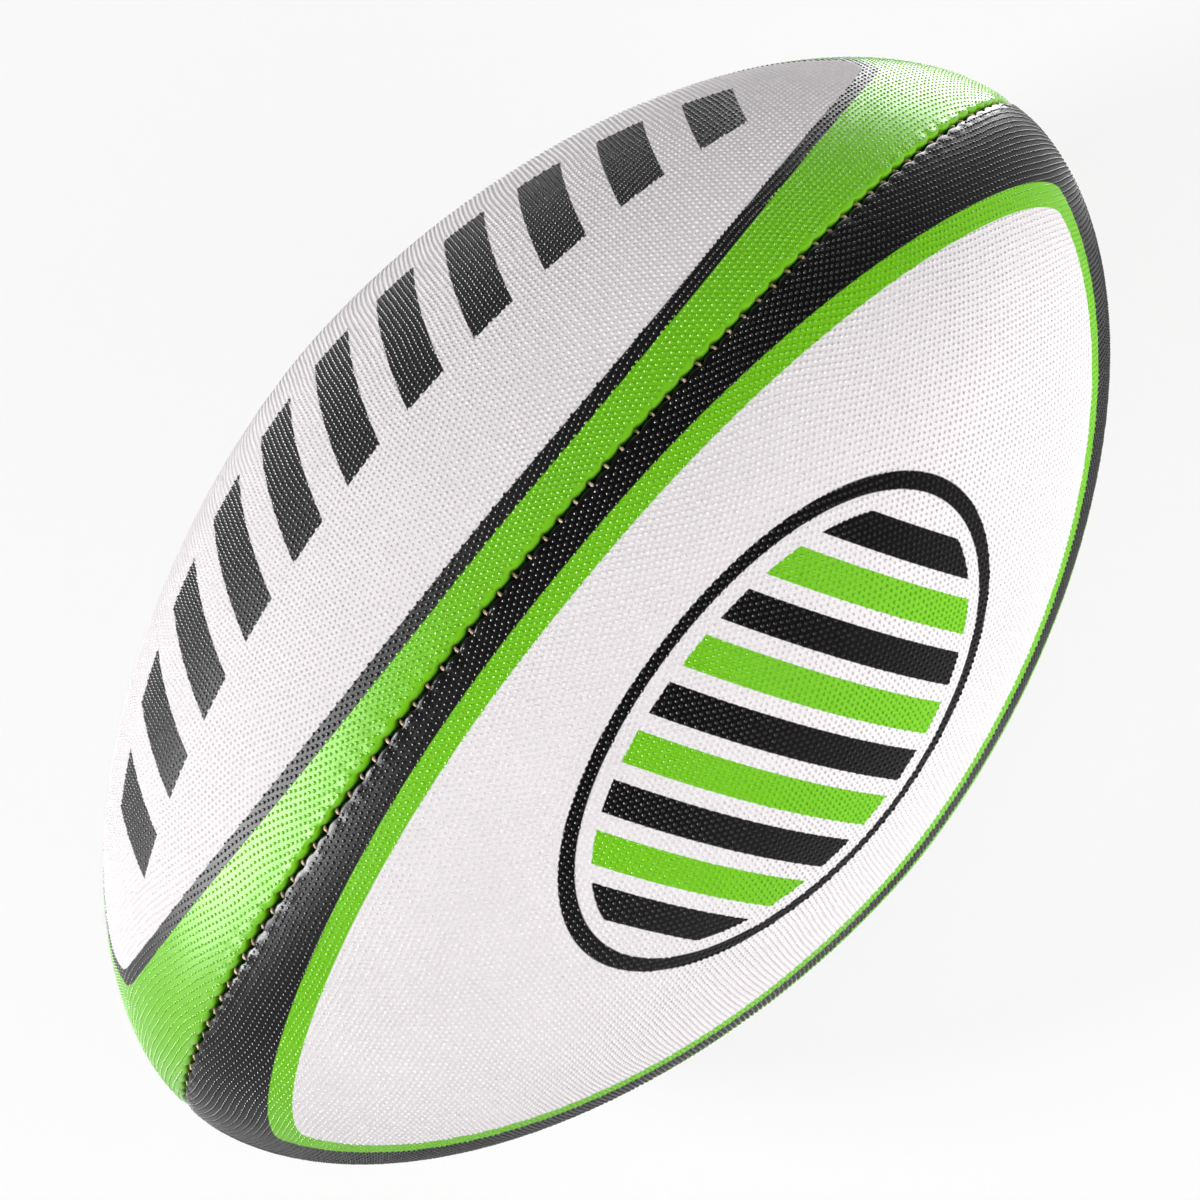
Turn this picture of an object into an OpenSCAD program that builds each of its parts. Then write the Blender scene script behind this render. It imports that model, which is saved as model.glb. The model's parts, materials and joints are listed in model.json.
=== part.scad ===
// Stitched four-panel rugby ball
// The long axis is X, +Z is up and the origin is the centre of the ball.
// Panel 1 lies between the top seam and the seam on the +Y side, and panels 2, 3 and 4 follow it by
// quarter turns about X. Depths are measured inwards from the outside of the ball.

/* [Ball] */
// Length from point to point
ball_length = 282; // [240:1:320]
// Largest diameter
ball_diameter = 172; // [140:1:200]
// Exponent of the long outline: 2 is an ellipse, less is more pointed
outline_power = 1.86; // [1.7:0.02:2.1]

/* [Layers] */
// Thickness of the moulded rubber cover
cover_t = 1.5; // [0.8:0.1:2]
// Thickness of each woven backing ply
ply_t = 0.4; // [0.2:0.05:0.8]
// Wall of the bladder
bladder_t = 0.6; // [0.4:0.1:1.2]
// Glue line between bonded layers
glue_gap = 0.05; // [0.02:0.01:0.1]
// Room between the bladder and what it presses on
bladder_clear = 0.3; // [0.2:0.05:0.6]

/* [Seams] */
// Gap between the two turned edges of a seam
seam_gap = 0.5; // [0.2:0.05:0.8]
// Radius of the rolled lip where a panel turns in
lip_radius = 1.6; // [1:0.1:2.2]
// Drop of the stitch line below the inner face of the plies
stitch_drop = 0.8; // [0.6:0.1:1.5]
// Width of turned edge left below the stitch holes
stitch_hem = 2.5; // [2:0.1:4]

/* [Stitching] */
// Diameter of the waxed thread
thread_d = 1; // [0.7:0.05:1.3]
// Distance from stitch to stitch
stitch_pitch = 4.3; // [3:0.1:6]
// Length of seam left unsewn at each point of the ball
stitch_end = 18; // [16:0.5:30]
// Room round the thread in its holes and along the turned edges
thread_clear = 0.1; // [0.05:0.05:0.2]

/* [Valve] */
// Outside diameter of the valve neck
neck_d = 9.5; // [9:0.25:12]
// Length of the valve neck
neck_length = 16; // [15:0.5:22]
// Depth of the neck's mouth below the outside of the ball
neck_recess = 0.4; // [0.2:0.1:0.8]
// Diameter of the valve flange
flange_d = 20; // [16:0.5:26]
// Thickness of the valve flange
flange_t = 1; // [0.6:0.1:1.6]
// Diameter of the reinforcing patch
patch_d = 32; // [28:0.5:40]
// Thickness of the reinforcing patch
patch_t = 0.8; // [0.5:0.1:1.4]
// Room between the neck and the holes that it passes through
neck_clear = 0.15; // [0.1:0.05:0.3]
// Rounding of the neck's rim, cut as a chamfer
rim_chamfer = 0.4; // [0.2:0.1:0.8]

/* [Plug] */
// Diameter of the plug's shank
plug_d = 5; // [4:0.25:5.5]
// Diameter of the plug's head
plug_head_d = 6.8; // [6.4:0.1:7.2]
// Thickness of the plug's head
plug_head_t = 1.4; // [1:0.1:2]
// Length of the plug below its head
plug_length = 11; // [9:0.5:13]
// Taper cut at the foot of the plug
plug_lead = 0.8; // [0.4:0.1:1.2]
// Room between the plug and its socket
plug_clear = 0.1; // [0.05:0.05:0.2]
// Diameter of the hole that takes the inflating needle
needle_d = 2.2; // [2:0.1:2.6]
// Depth of the needle hole below its funnel, past which the rubber is slit and closed
needle_depth = 5; // [3:0.5:7]
// Depth of the funnel that guides the needle in
funnel_depth = 0.7; // [0.4:0.1:1]

/* [Hidden] */

// Flats along the half outline, flats in the rolled lip, sides of the thread, and preview fineness
outline_steps = 40;
lip_steps = 2;
thread_sides = 6;
round_fn = 96;
small_fn = 24;
// How far a cutter reaches past the face that it cuts
over = 1;
// A length that reaches past the whole ball
span = ball_length + ball_diameter;

// The four panels, and the one that holds the valve
panel_count = 4;
panel_turn = 360 / panel_count;
valve_panel = 4;

half_length = ball_length / 2;
ball_r = ball_diameter / 2;
half_gap = seam_gap / 2;
thread_r = thread_d / 2;
hole_r = thread_r + thread_clear;

// Depths of the layers
outer_ply_in = cover_t + glue_gap;
outer_ply_out = outer_ply_in + ply_t;
inner_ply_in = outer_ply_out + glue_gap;
stack = inner_ply_in + ply_t;
bladder_in = stack + bladder_clear;
bladder_out = bladder_in + bladder_t;
patch_in = bladder_out + glue_gap;
patch_out = patch_in + patch_t;
flange_in = patch_out + glue_gap;
flange_out = flange_in + flange_t;

// Depth of the stitch line and of the turned edges
stitch_depth = stack + thread_r + stitch_drop;
seam_allowance = stitch_depth + hole_r + stitch_hem;

// Distance from the seam plane to the thread along each turned edge, and to the bladder's fold round it
thread_run = half_gap + stack + thread_clear + thread_r;
fold_half = thread_run + thread_r + bladder_clear;
fold_depth = seam_allowance + bladder_clear;

neck_r = neck_d / 2;
neck_top = ball_r - neck_recess;
neck_foot = neck_top - neck_length;
neck_hole_r = neck_r + neck_clear;
plug_r = plug_d / 2;
plug_head_r = plug_head_d / 2;
plug_foot = neck_top - plug_head_t - plug_length;
socket_r = plug_r + plug_clear;
head_seat_r = plug_head_r + plug_clear;
head_seat = neck_top - plug_head_t - plug_clear;
needle_r = needle_d / 2;
funnel_r = needle_r + funnel_depth;

cover_green = [0.43, 0.74, 0.18];
cover_black = [0.13, 0.12, 0.13];
outer_ply_colour = [0.86, 0.84, 0.78];
inner_ply_colour = [0.76, 0.73, 0.66];
thread_colour = [0.9, 0.87, 0.78];
bladder_colour = [0.2, 0.2, 0.22];
patch_colour = [0.3, 0.3, 0.32];
valve_colour = [0.24, 0.24, 0.25];
plug_colour = [0.08, 0.08, 0.09];

// A point of the half outline at a depth; the angle runs from the +X point to the -X point
function outline_point(angle, depth) = [
    (half_length - depth) * sign(cos(angle)) * pow(abs(cos(angle)), 2 / outline_power),
    (ball_r - depth) * pow(abs(sin(angle)), 2 / outline_power)
];
function outline_angle(step) = 180 * step / outline_steps;
function outline(depth) = [
    for (i = [0 : outline_steps]) outline_point(outline_angle(i), depth)
];

// Length along a chain of points, up to each of them
function running_length(points) = [
    for (i = 0, s = 0; i < len(points); i = i + 1,
         s = s + (i < len(points) ? norm(points[i] - points[i - 1]) : 0))
        s
];

function unit(v) = v / norm(v);

// Two triangles for each side of a tube of rings, and a flat face at each end
function tube_faces(rings, sides) = concat(
    [[for (k = [sides - 1 : -1 : 0]) k]],
    [
        for (i = [0 : rings - 2], k = [0 : sides - 1], half = [0, 1])
            let (a = i * sides, b = a + sides, next = (k + 1) % sides)
            half == 0 ? [a + k, a + next, b + next] : [a + k, b + next, b + k]
    ],
    [[for (k = [0 : sides - 1]) (rings - 1) * sides + k]]
);

// Stitches of one seam, evenly spaced along the stitch line, each as a place along X and a height
stitch_line = outline(stitch_depth);
stitch_length = running_length(stitch_line);
seam_length = stitch_length[outline_steps];
stitch_count = floor((seam_length - 2 * stitch_end) / stitch_pitch) + 1;
stitch_start = (seam_length - (stitch_count - 1) * stitch_pitch) / 2;
x_along = [for (i = [0 : outline_steps]) [stitch_length[i], stitch_line[i].x]];
height_along = [for (i = [0 : outline_steps]) [stitch_length[i], stitch_line[i].y]];
stitches = [
    for (i = [0 : stitch_count - 1])
        let (s = stitch_start + i * stitch_pitch)
        [lookup(s, x_along), lookup(s, height_along)]
];

// The whole ball down to a depth
module ball(depth) {
    rotate([0, 90, 0])
        rotate_extrude($fn = round_fn)
            polygon([for (p = outline(depth)) [p.y, p.x]]);
}

// The quarter of the ball on the +Y and +Z side, kept off both seam planes by a margin
module quarter(depth, margin) {
    intersection() {
        ball(depth);
        translate([-span / 2, margin, margin])
            cube([span, span, span]);
    }
}

module at_panel(number) {
    rotate([panel_turn * (number - 1), 0, 0])
        children();
}

// Turns +Z to the middle of the first quarter
module at_panel_middle() {
    rotate([-panel_turn / 2, 0, 0])
        children();
}

// Draws what follows along both seams of the first quarter
module along_both_seams() {
    children();
    mirror([0, 1, -1])
        children();
}

// Needle holes through one turned edge
module stitch_row() {
    linear_extrude(height = half_gap + stack + over)
        for (p = stitches)
            translate(p)
                circle(r = hole_r, $fn = small_fn);
}

// Half the groove of a seam, which the rolled lip takes off one edge of a panel: the lip's quarter turn
// in flats, run on at both ends past the faces that it rounds
lip_turn = 90 / lip_steps;
lip_arc = [
    for (i = [0 : lip_steps])
        let (turn = 90 - lip_turn * i)
        [half_gap + lip_radius * (1 - sin(turn)), lip_radius * (1 - cos(turn))]
];
lip_foot = lip_arc[0] - half_gap * [1, -1 / tan(lip_turn / 2)];
lip_edge = lip_arc[lip_steps] + lip_radius * [1, -tan(lip_turn / 2)];
lip_section = concat(
    [[lip_edge[0], -over - lip_radius], lip_edge],
    [for (i = [lip_steps - 1 : -1 : 1]) lip_arc[i]],
    [lip_foot, [0, -over - lip_radius]]
);
module lip_groove() {
    points = [
        for (i = [0 : outline_steps], s = lip_section)
            let (p = outline_point(outline_angle(i), s[1]))
            [p.x, p.y, s[0]]
    ];
    polyhedron(points, tube_faces(outline_steps + 1, len(lip_section)));
}

// The first quarter of the ball with its edges rolled in at both seams
module rolled_quarter() {
    difference() {
        quarter(0, half_gap);
        along_both_seams()
            lip_groove();
    }
}

// What is left between a quarter, drawn as the child, and the quarter below it: a layer of a panel with
// its edges turned in and punched at both seams
module panel_layer(depth_out) {
    difference() {
        children();
        quarter(depth_out, half_gap + depth_out);
        quarter(seam_allowance, -over);
        along_both_seams()
            stitch_row();
    }
}

// The hole in the middle of a layer that the valve neck passes through
module neck_hole() {
    cylinder(r = neck_hole_r, h = span, $fn = small_fn);
}

// A layer as it lies in the ball, with the neck hole where it is the valve's panel
module placed_layer(number, depth_out) {
    at_panel(number)
        difference() {
            panel_layer(depth_out)
                children();
            if (number == valve_panel)
                at_panel_middle()
                    neck_hole();
        }
}

module cover_panel(number) {
    color(number % 2 == 1 ? cover_green : cover_black)
        placed_layer(number, cover_t)
            rolled_quarter();
}

module outer_ply(number) {
    color(outer_ply_colour)
        placed_layer(number, outer_ply_out)
            quarter(outer_ply_in, half_gap + outer_ply_in);
}

module inner_ply(number) {
    color(inner_ply_colour)
        placed_layer(number, stack)
            quarter(inner_ply_in, half_gap + inner_ply_in);
}

// Thread of the top seam: through both edges at each stitch, then along one side to the next
thread_path = [
    for (i = [0 : stitch_count - 1], end = [0, 1])
        let (side = (i + end) % 2 == 0 ? -1 : 1)
        [stitches[i].x, side * thread_run, stitches[i].y]
];
thread_last = len(thread_path) - 1;
function thread_heading(i) = unit(thread_path[i + 1] - thread_path[i]);
// The way out of the ball at a stitch
function stitch_outward(i) =
    let (along = unit(stitches[min(i + 1, stitch_count - 1)] - stitches[max(i - 1, 0)]))
    [along.y, 0, -along.x];
// The ring of a corner lies in the plane that halves it, so that the tube keeps its thickness
function thread_ring(i) =
    let (
        before = thread_heading(max(i - 1, 0)),
        after = thread_heading(min(i, thread_last - 1)),
        outward = stitch_outward(floor(i / 2)),
        across = cross(outward, before + after) / (1 + before * after)
    )
    [
        for (k = [0 : thread_sides - 1])
            let (turn = 360 * k / thread_sides)
            thread_path[i] + thread_r * (cos(turn) * outward + sin(turn) * across)
    ];
module seam_thread(number) {
    color(thread_colour)
        at_panel(number)
            polyhedron(
                [for (i = [0 : thread_last], p = thread_ring(i)) p],
                tube_faces(thread_last + 1, thread_sides)
            );
}

// The space inside the sewn cover, down to a further depth, with folds round the turned edges
module bladder_space(depth) {
    for (number = [1 : panel_count])
        at_panel(number)
            quarter(bladder_in + depth, fold_half + depth);
    ball(fold_depth + depth);
}

module at_valve() {
    at_panel(valve_panel)
        at_panel_middle()
            children();
}

module bladder() {
    color(bladder_colour)
        difference() {
            bladder_space(0);
            bladder_space(bladder_t);
            at_valve()
                neck_hole();
        }
}

// A round piece cut from a layer of the ball, so that it lies against the layer outside it
module dish(depth_in, depth_out, diameter) {
    intersection() {
        difference() {
            ball(depth_in);
            ball(depth_out);
        }
        cylinder(d = diameter, h = span, $fn = round_fn);
    }
}

module valve_patch() {
    color(patch_colour)
        at_valve()
            difference() {
                dish(patch_in, patch_out, patch_d);
                neck_hole();
            }
}

module valve_body() {
    color(valve_colour)
        at_valve()
            difference() {
                union() {
                    dish(flange_in, flange_out, flange_d);
                    rotate_extrude($fn = round_fn)
                        polygon([
                            [0, neck_foot],
                            [neck_r - rim_chamfer, neck_foot],
                            [neck_r, neck_foot + rim_chamfer],
                            [neck_r, neck_top - rim_chamfer],
                            [neck_r - rim_chamfer, neck_top],
                            [0, neck_top]
                        ]);
                }
                translate([0, 0, neck_foot - over])
                    cylinder(r = socket_r, h = neck_length + 2 * over, $fn = small_fn);
                translate([0, 0, head_seat])
                    cylinder(r = head_seat_r, h = span, $fn = small_fn);
            }
}

module valve_plug() {
    color(plug_colour)
        at_valve()
            difference() {
                rotate_extrude($fn = round_fn)
                    polygon([
                        [0, plug_foot],
                        [plug_r - plug_lead, plug_foot],
                        [plug_r, plug_foot + plug_lead],
                        [plug_r, neck_top - plug_head_t],
                        [plug_head_r, neck_top - plug_head_t],
                        [plug_head_r, neck_top],
                        [0, neck_top]
                    ]);
                translate([0, 0, neck_top - funnel_depth - needle_depth])
                    cylinder(r = needle_r, h = span, $fn = small_fn);
                translate([0, 0, neck_top - funnel_depth])
                    cylinder(r1 = needle_r, r2 = funnel_r + over, h = funnel_depth + over, $fn = small_fn);
            }
}

cover_panel(1);  // cover_panel_1
cover_panel(2);  // cover_panel_2
cover_panel(3);  // cover_panel_3
cover_panel(4);  // cover_panel_4
outer_ply(1);  // outer_ply_1
outer_ply(2);  // outer_ply_2
outer_ply(3);  // outer_ply_3
outer_ply(4);  // outer_ply_4
inner_ply(1);  // inner_ply_1
inner_ply(2);  // inner_ply_2
inner_ply(3);  // inner_ply_3
inner_ply(4);  // inner_ply_4
seam_thread(1);  // seam_thread_1
seam_thread(2);  // seam_thread_2
seam_thread(3);  // seam_thread_3
seam_thread(4);  // seam_thread_4
bladder();
valve_patch();
valve_body();
valve_plug();
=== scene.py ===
# %% [markdown]
# A stitched oval ball
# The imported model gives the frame: where each piece of the ball lies, and the plug as the one body that
# moves. This lesson dresses it. The four cover panels and the seam threads are modelled again here,
# because rolled lips, puckers and thousands of grip pimples are too fine for the solids. The layers
# inside keep their solids and get materials. Lengths are in metres and the long axis of the ball is X.

# %% The frame
import json
import math

import bpy
import numpy as np
from mathutils import Matrix, Vector


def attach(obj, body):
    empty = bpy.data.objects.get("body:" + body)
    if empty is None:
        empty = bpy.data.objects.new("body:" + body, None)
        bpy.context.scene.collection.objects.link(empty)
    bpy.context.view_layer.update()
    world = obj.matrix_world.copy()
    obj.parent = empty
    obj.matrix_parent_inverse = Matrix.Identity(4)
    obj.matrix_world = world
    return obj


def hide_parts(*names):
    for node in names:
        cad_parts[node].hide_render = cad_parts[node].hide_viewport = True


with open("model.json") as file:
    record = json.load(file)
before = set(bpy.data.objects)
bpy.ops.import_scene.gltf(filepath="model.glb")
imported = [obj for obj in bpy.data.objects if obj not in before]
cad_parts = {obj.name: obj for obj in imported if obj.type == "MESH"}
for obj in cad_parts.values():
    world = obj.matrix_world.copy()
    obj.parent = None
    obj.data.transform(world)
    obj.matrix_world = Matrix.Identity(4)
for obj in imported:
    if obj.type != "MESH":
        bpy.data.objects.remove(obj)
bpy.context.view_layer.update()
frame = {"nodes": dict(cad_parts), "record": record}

scene = bpy.context.scene
scene.view_settings.view_transform = "Standard"

# %% [markdown]
# The camera
# The ball is seen from almost straight above, leaning towards the -Y side, with its long axis turned in
# the picture. A camera could be aimed by a Track To constraint, but the roll matters here. So its three
# axes are worked out and written into the camera's matrix, and a small lens shift puts the ball where it
# stands in the picture.

# %% The camera
MM = 0.001
PHOTO_SIDE = 1200
SENSOR_MM = 36
FOCAL_PIXELS = 2356
BALL_PIXEL_X = 606.1
BALL_PIXEL_Y = 611.9
CAMERA_DISTANCE = 516 * MM
CAMERA_LEAN = math.radians(-11.84)
CAMERA_ALONG = math.radians(0.73)
CAMERA_ROLL = math.radians(-50.66)

toward_camera = Vector((
    math.sin(CAMERA_ALONG),
    math.cos(CAMERA_ALONG) * math.sin(CAMERA_LEAN),
    math.cos(CAMERA_ALONG) * math.cos(CAMERA_LEAN),
))
level_right = Vector((1, 0, 0)) - toward_camera * toward_camera.x
level_right.normalize()
level_up = toward_camera.cross(level_right)
camera_right = math.cos(CAMERA_ROLL) * level_right + math.sin(CAMERA_ROLL) * level_up
camera_up = math.cos(CAMERA_ROLL) * level_up - math.sin(CAMERA_ROLL) * level_right


def aimed(right, up, back, place):
    """The matrix of a camera with these axes at this place."""
    turn = Matrix((right, up, back)).transposed()
    return Matrix.Translation(place) @ turn.to_4x4()


lens = bpy.data.cameras.new("photo_lens")
lens.sensor_width = SENSOR_MM
lens.lens = SENSOR_MM * FOCAL_PIXELS / PHOTO_SIDE
lens.shift_x = (PHOTO_SIDE / 2 - BALL_PIXEL_X) / PHOTO_SIDE
lens.shift_y = (BALL_PIXEL_Y - PHOTO_SIDE / 2) / PHOTO_SIDE
lens.clip_start = 10 * MM
camera = bpy.data.objects.new("photo_camera", lens)
camera.matrix_world = aimed(camera_right, camera_up, toward_camera, CAMERA_DISTANCE * toward_camera)
scene.collection.objects.link(camera)
scene.camera = camera
print("lens in mm:", round(lens.lens, 1))

# %% [markdown]
# Node trees written as arithmetic
# Materials and Geometry Nodes are graphs, and a graph made by hand in a script is long. Here one class
# wraps an output socket, so that Python's operators add Math nodes, and one method adds any other node
# with its settings and sockets.

# %% Signals and graphs
class Signal:
    """An output socket that takes Python's operators. Each operation adds a Math node."""

    def __init__(self, graph, socket):
        self.graph = graph
        self.socket = socket

    def __add__(self, other):
        return self.graph.math("ADD", self, other)

    def __radd__(self, other):
        return self.graph.math("ADD", other, self)

    def __sub__(self, other):
        return self.graph.math("SUBTRACT", self, other)

    def __rsub__(self, other):
        return self.graph.math("SUBTRACT", other, self)

    def __mul__(self, other):
        return self.graph.math("MULTIPLY", self, other)

    def __rmul__(self, other):
        return self.graph.math("MULTIPLY", other, self)

    def __truediv__(self, other):
        return self.graph.math("DIVIDE", self, other)

    def __rtruediv__(self, other):
        return self.graph.math("DIVIDE", other, self)

    def __pow__(self, other):
        return self.graph.math("POWER", self, other)

    def __rpow__(self, other):
        return self.graph.math("POWER", other, self)

    def __abs__(self):
        return self.graph.math("ABSOLUTE", self)


class Graph:
    """A node tree that is filled by one method."""

    def __init__(self, tree):
        self.tree = tree

    def node(self, kind, settings=None, sockets=None, output=0):
        """Adds a node; its settings come first, then the values or links of its sockets."""
        made = self.tree.nodes.new(kind)
        for name, value in (settings or {}).items():
            setattr(made, name, value)
        for name, value in (sockets or {}).items():
            if isinstance(value, Signal):
                self.tree.links.new(value.socket, made.inputs[name])
            else:
                made.inputs[name].default_value = value
        if isinstance(output, tuple):
            return [Signal(self, made.outputs[name]) for name in output]
        return Signal(self, made.outputs[output]) if len(made.outputs) else None

    def math(self, operation, *values):
        return self.node("ShaderNodeMath", {"operation": operation}, dict(enumerate(values)))

    def vector_math(self, operation, *values):
        return self.node("ShaderNodeVectorMath", {"operation": operation}, dict(enumerate(values)))

    def clamp(self, value):
        return self.node("ShaderNodeClamp", None, {"Value": value})

    def mix(self, factor, below, above):
        """One colour over another where the factor is 1."""
        sockets = {"Factor": factor, 6: below, 7: above}
        return self.node("ShaderNodeMix", {"data_type": "RGBA"}, sockets, 2)


def linear(red, green, blue):
    """A colour as a picture editor shows it, from 0 to 255, made linear for the shader."""
    return tuple(((c / 255 + 0.055) / 1.055) ** 2.4 for c in (red, green, blue)) + (1,)


# %% [markdown]
# A material's ends
# Every finish here ends in one Principled shader, with a little bump for the grain of its surface. The
# helpers start a material and close it, so that each finish below is only what makes it different.

# %% Starting and closing a material
WAX_ROUGHNESS = 0.16


def new_finish(name):
    material = bpy.data.materials.new(name)
    material.use_nodes = True
    material.node_tree.nodes.clear()
    return material, Graph(material.node_tree)


def object_place(graph):
    return graph.node("ShaderNodeTexCoord", output="Object")


def grain(graph, scale, detail=2.0):
    """Noise from 0 to 1 on the object's own coordinates; the scale is in cycles for each metre."""
    sockets = {"Vector": object_place(graph), "Scale": scale, "Detail": detail}
    return graph.node("ShaderNodeTexNoise", {"noise_dimensions": "3D"}, sockets)


def close_finish(graph, colour, roughness, height, bump_depth, specular=0.5, wax=0.0):
    """The shader and output; a height of 1 is worth bump_depth metres, and wax is a clear coat."""
    bump = graph.node("ShaderNodeBump", None, {"Strength": 1.0, "Distance": bump_depth, "Height": height})
    shader = graph.node("ShaderNodeBsdfPrincipled", None, {
        "Base Color": colour, "Roughness": roughness, "Normal": bump, "Specular IOR Level": specular,
        "Coat Weight": wax, "Coat Roughness": WAX_ROUGHNESS,
    })
    graph.node("ShaderNodeOutputMaterial", None, {"Surface": shader})


# %% [markdown]
# The printed rubber cover
# Each panel is coloured rubber with a white field printed on it, in a thin line, and two of each kind lie
# opposite each other. A UV map and a picture would do, but a picture needs pixels. The print is drawn by
# distance instead: x runs along the ball, and off is how far a point lies to the side of the print's
# middle. A field is where a lens-shaped limit minus that distance is above zero, and dividing by the
# edge's width makes it a mask from 0 to 1.

# %% The printed field
EDGE_WIDTH = 0.16 * MM
FIELD_POWER = 0.70
CORNER_ROUND = 2.5 * MM
HALF_ROOT = math.sqrt(0.5)
WHITE = linear(238, 233, 235)
GREEN = linear(120, 200, 22)
BLACK = linear(13, 11, 12)


def mask(graph, inside):
    """1 where a distance is above zero, with an edge as wide as ink has."""
    return graph.clamp(inside / EDGE_WIDTH + 0.5)


def panel_place(graph, green_edge):
    """x along the ball and the distance across the panel, positive on the side of its first seam."""
    x, y, z = graph.node("ShaderNodeSeparateXYZ", None, {"Vector": object_place(graph)}, ("X", "Y", "Z"))
    outward, across = (z + y, z - y) if green_edge else (z - y, z + y)
    return x, across * graph.math("SIGN", outward) * HALF_ROOT


def field(graph, x, off, half_width, half_length, cut_length):
    """How far inside a lens-shaped field a point lies, with its tips cut square and corners rounded."""
    left = graph.math("MAXIMUM", 1 - (x / half_length) ** 2, 0.0)
    past_point = graph.math("MAXIMUM", abs(x) - half_length, 0.0)
    lens_side = half_width * left ** FIELD_POWER - abs(off) - past_point
    return graph.math("SMOOTH_MIN", lens_side, cut_length - abs(x), CORNER_ROUND)


# %% [markdown]
# Plain marks on the white fields
# A bare field would be too plain for a match ball, so each one carries an ornament of slanted bars: a row
# that swells to the middle on one kind of panel, and a ringed oval of hoops on the other. Pingpong folds
# a coordinate into the distance from the nearest bar's middle, so one mask draws every bar.

# %% The ornaments
BAR_SLANT = 0.36
BAR_PERIOD = 18.4 * MM
BAR_HALF_WIDTH = 5.1 * MM
ROW_HALF_LENGTH = 101 * MM
ROW_HALF_HEIGHT = 19 * MM
ROW_SWELL = 0.6
ROW_SWELL_LENGTH = 100 * MM
HOOP_PERIOD = 22 * MM
HOOP_HALF_WIDTH = 3.6 * MM
OVAL_HALF_LENGTH = 50 * MM
OVAL_HALF_WIDTH = 28 * MM
RING_HALF_LENGTH = 55 * MM
RING_HALF_WIDTH = 32 * MM
RING_HALF_LINE = 1.1 * MM


def bars(graph, along, period, half_bar, start=0.0):
    """How far inside a bar a point lies, for bars a period apart."""
    return half_bar - graph.math("PINGPONG", along + start, period / 2)


def bar_row(graph, x, off):
    """A row of slanted bars, tallest in the middle."""
    slant = x + BAR_SLANT * off
    swell = 1 - ROW_SWELL * (x / ROW_SWELL_LENGTH) ** 2
    height = ROW_HALF_HEIGHT * swell - abs(off)
    ends = ROW_HALF_LENGTH - abs(slant)
    inside = graph.math("MINIMUM", height, bars(graph, slant, BAR_PERIOD, BAR_HALF_WIDTH))
    return mask(graph, graph.math("MINIMUM", inside, ends))


def oval(graph, x, off, half_length, half_width):
    """About how far inside an oval a point lies."""
    reach = ((x / half_length) ** 2 + (off / half_width) ** 2) ** 0.5
    return (1 - reach) * half_width


def hooped_oval(graph, x, off):
    """Masks of the black hoops and ring and of the green hoops of the oval ornament."""
    slant = x + BAR_SLANT * off
    within = oval(graph, x, off, OVAL_HALF_LENGTH, OVAL_HALF_WIDTH)
    dark_hoops = bars(graph, slant, HOOP_PERIOD, HOOP_HALF_WIDTH)
    dark = graph.math("MINIMUM", within, dark_hoops)
    bright_hoops = bars(graph, slant, HOOP_PERIOD, HOOP_HALF_WIDTH, HOOP_PERIOD / 2)
    bright = graph.math("MINIMUM", within, bright_hoops)
    ring = RING_HALF_LINE - abs(oval(graph, x, off, RING_HALF_LENGTH, RING_HALF_WIDTH))
    return mask(graph, graph.math("MAXIMUM", dark, ring)), mask(graph, bright)


# %% [markdown]
# Sheet and grip
# Hands polish the tips of the pimples, so they shine more than the sheet between them. The print is drawn
# twice, once for the sheet and once for the grip, with a roughness and a specular level for each. White
# ink is duller than bare rubber, and so is the thin black line. Beside a seam the lip is wrinkled and
# carries wax that the thread left there, so a mask from the distance to the seam adds wrinkles and
# patches of clear coat.

# %% The rubber of the cover
LIP_END = 3.4 * MM
LIP_FADE = 2 * MM
LIP_POLISH = 0.1
LIP_WRINKLES = 5.0
LIP_WAX = 0.45
WAX_CONTRAST = 6
WAX_CUT = 0.45
MATTE_WHITE = 0.7
TONE_SPREAD = 0.1
GLOSS_SPREAD = 0.1
COVER_GRAIN = 0.04 * MM
CLOUD_SCALE = 45.0
GLOSS_SCALE = 160.0
WAX_SCALE = 340.0
WRINKLE_SCALE = 520.0
GRAIN_SCALE = 2600.0


def bare_lip(graph):
    """1 on the rolled lip beside a seam, where there are no pimples, and 0 away from it."""
    y, z = graph.node("ShaderNodeSeparateXYZ", None, {"Vector": object_place(graph)}, ("Y", "Z"))
    from_seam = graph.math("MINIMUM", abs(y), abs(z))
    return graph.clamp((LIP_END - from_seam) / LIP_FADE)


def close_cover(graph, colour, roughness, specular, matte_black):
    """Semi-gloss moulded rubber, uneven in tone and gloss, duller in some inks and waxed on its lips."""
    cloud = grain(graph, CLOUD_SCALE, 4.0)
    level = 1 - TONE_SPREAD / 2 + TONE_SPREAD * cloud
    tone = graph.node("ShaderNodeCombineXYZ", None, {axis: level for axis in "XYZ"})
    toned = graph.vector_math("MULTIPLY", colour, tone)
    green, blue = graph.node("ShaderNodeSeparateColor", None, {"Color": colour}, ("Green", "Blue"))
    ink = MATTE_WHITE * blue + matte_black * graph.clamp(1 - 2 * green)
    lip = bare_lip(graph)
    uneven = roughness + GLOSS_SPREAD * grain(graph, GLOSS_SCALE) + ink - LIP_POLISH * lip
    height = grain(graph, GRAIN_SCALE) + LIP_WRINKLES * lip * grain(graph, WRINKLE_SCALE)
    wax = LIP_WAX * lip * graph.clamp(WAX_CONTRAST * (grain(graph, WAX_SCALE, 3.0) - WAX_CUT))
    close_finish(graph, toned, uneven, height, COVER_GRAIN, specular, wax)


# %% The cover materials
PRINT_SHIFT = 2.3 * MM
BAR_ROW_SHIFT = 8 * MM
OVAL_SHIFT = 4 * MM
OVAL_ALONG = 5 * MM
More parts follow.
